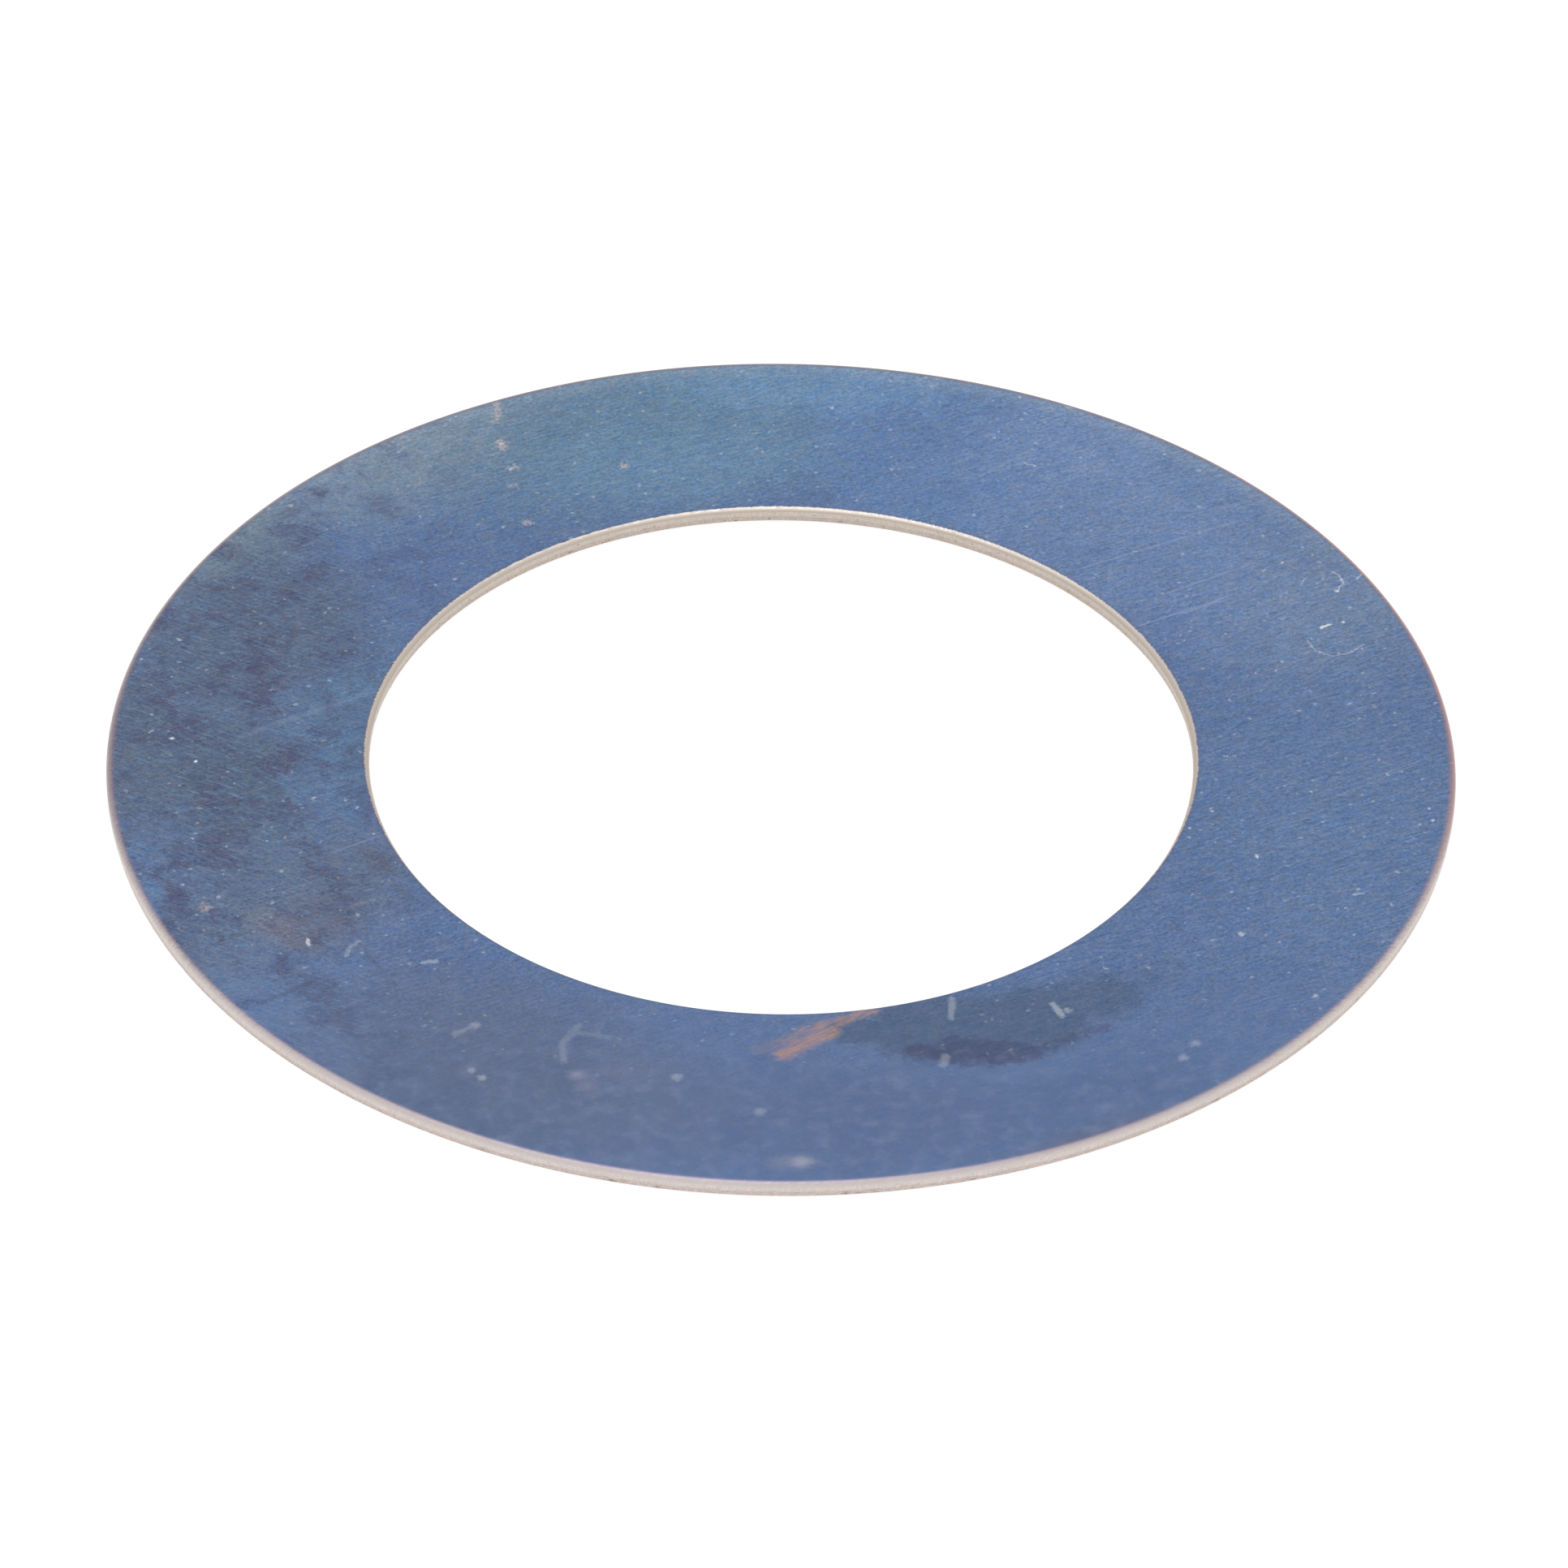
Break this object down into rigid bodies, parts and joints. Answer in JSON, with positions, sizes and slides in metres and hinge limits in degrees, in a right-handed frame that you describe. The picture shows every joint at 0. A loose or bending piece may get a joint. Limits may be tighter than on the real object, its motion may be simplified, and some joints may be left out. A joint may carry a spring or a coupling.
{
  "type": "shim ring",
  "caption": "Thin flat ring of blue-tempered spring steel with bare cut edges, laid between two faces on a shaft or in a housing to set the gap between them.",
  "frame": {"origin": "centre of the bore on the lower face, which the ring rests on", "axes": "+Z along the bore's axis, out of the face whose edges are rolled over; +X and +Y in the lower face"},
  "size_m": [0.09, 0.09, 0.001],
  "materials": {
    "blued_spring_steel": "blue temper oxide over fine rolling grain, bare polished metal on the rolled edges, sheared walls"
  },
  "bodies": {
    "root": {"shim_ring": "blued_spring_steel"}
  },
  "joints": []
}
